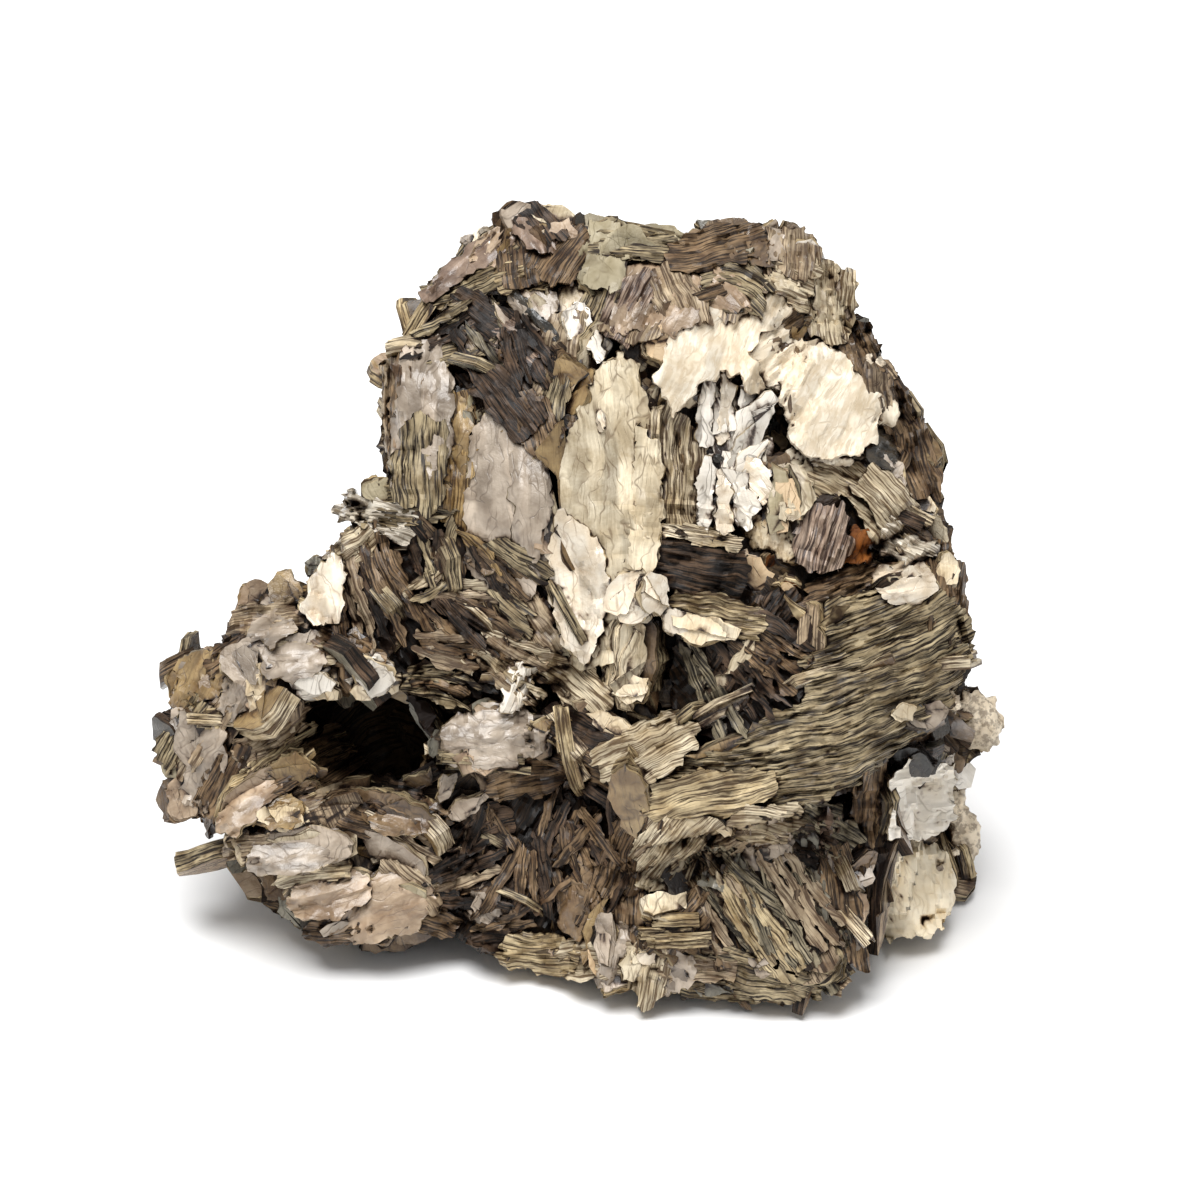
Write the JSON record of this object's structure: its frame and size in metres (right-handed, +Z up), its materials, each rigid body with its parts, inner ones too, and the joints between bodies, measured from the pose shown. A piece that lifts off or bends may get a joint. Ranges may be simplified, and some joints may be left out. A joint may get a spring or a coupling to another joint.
{
  "type": "mica crystal cluster",
  "caption": "Natural muscovite mica specimen: intergrown books and rosettes of thin sheets with white albite crust, resting on its own base.",
  "frame": {"origin": "centre of the bounding box at the level of the resting faces", "axes": "+Z up, +X along the width to the right of someone who faces the show side, -Y towards that person"},
  "size_m": [0.1512, 0.1134, 0.1198],
  "materials": {
    "mica": "pearly cleavage faces, dull ruled sheet edges, matt white crust"
  },
  "bodies": {
    "root": {"mica_cluster": "mica"}
  },
  "joints": []
}
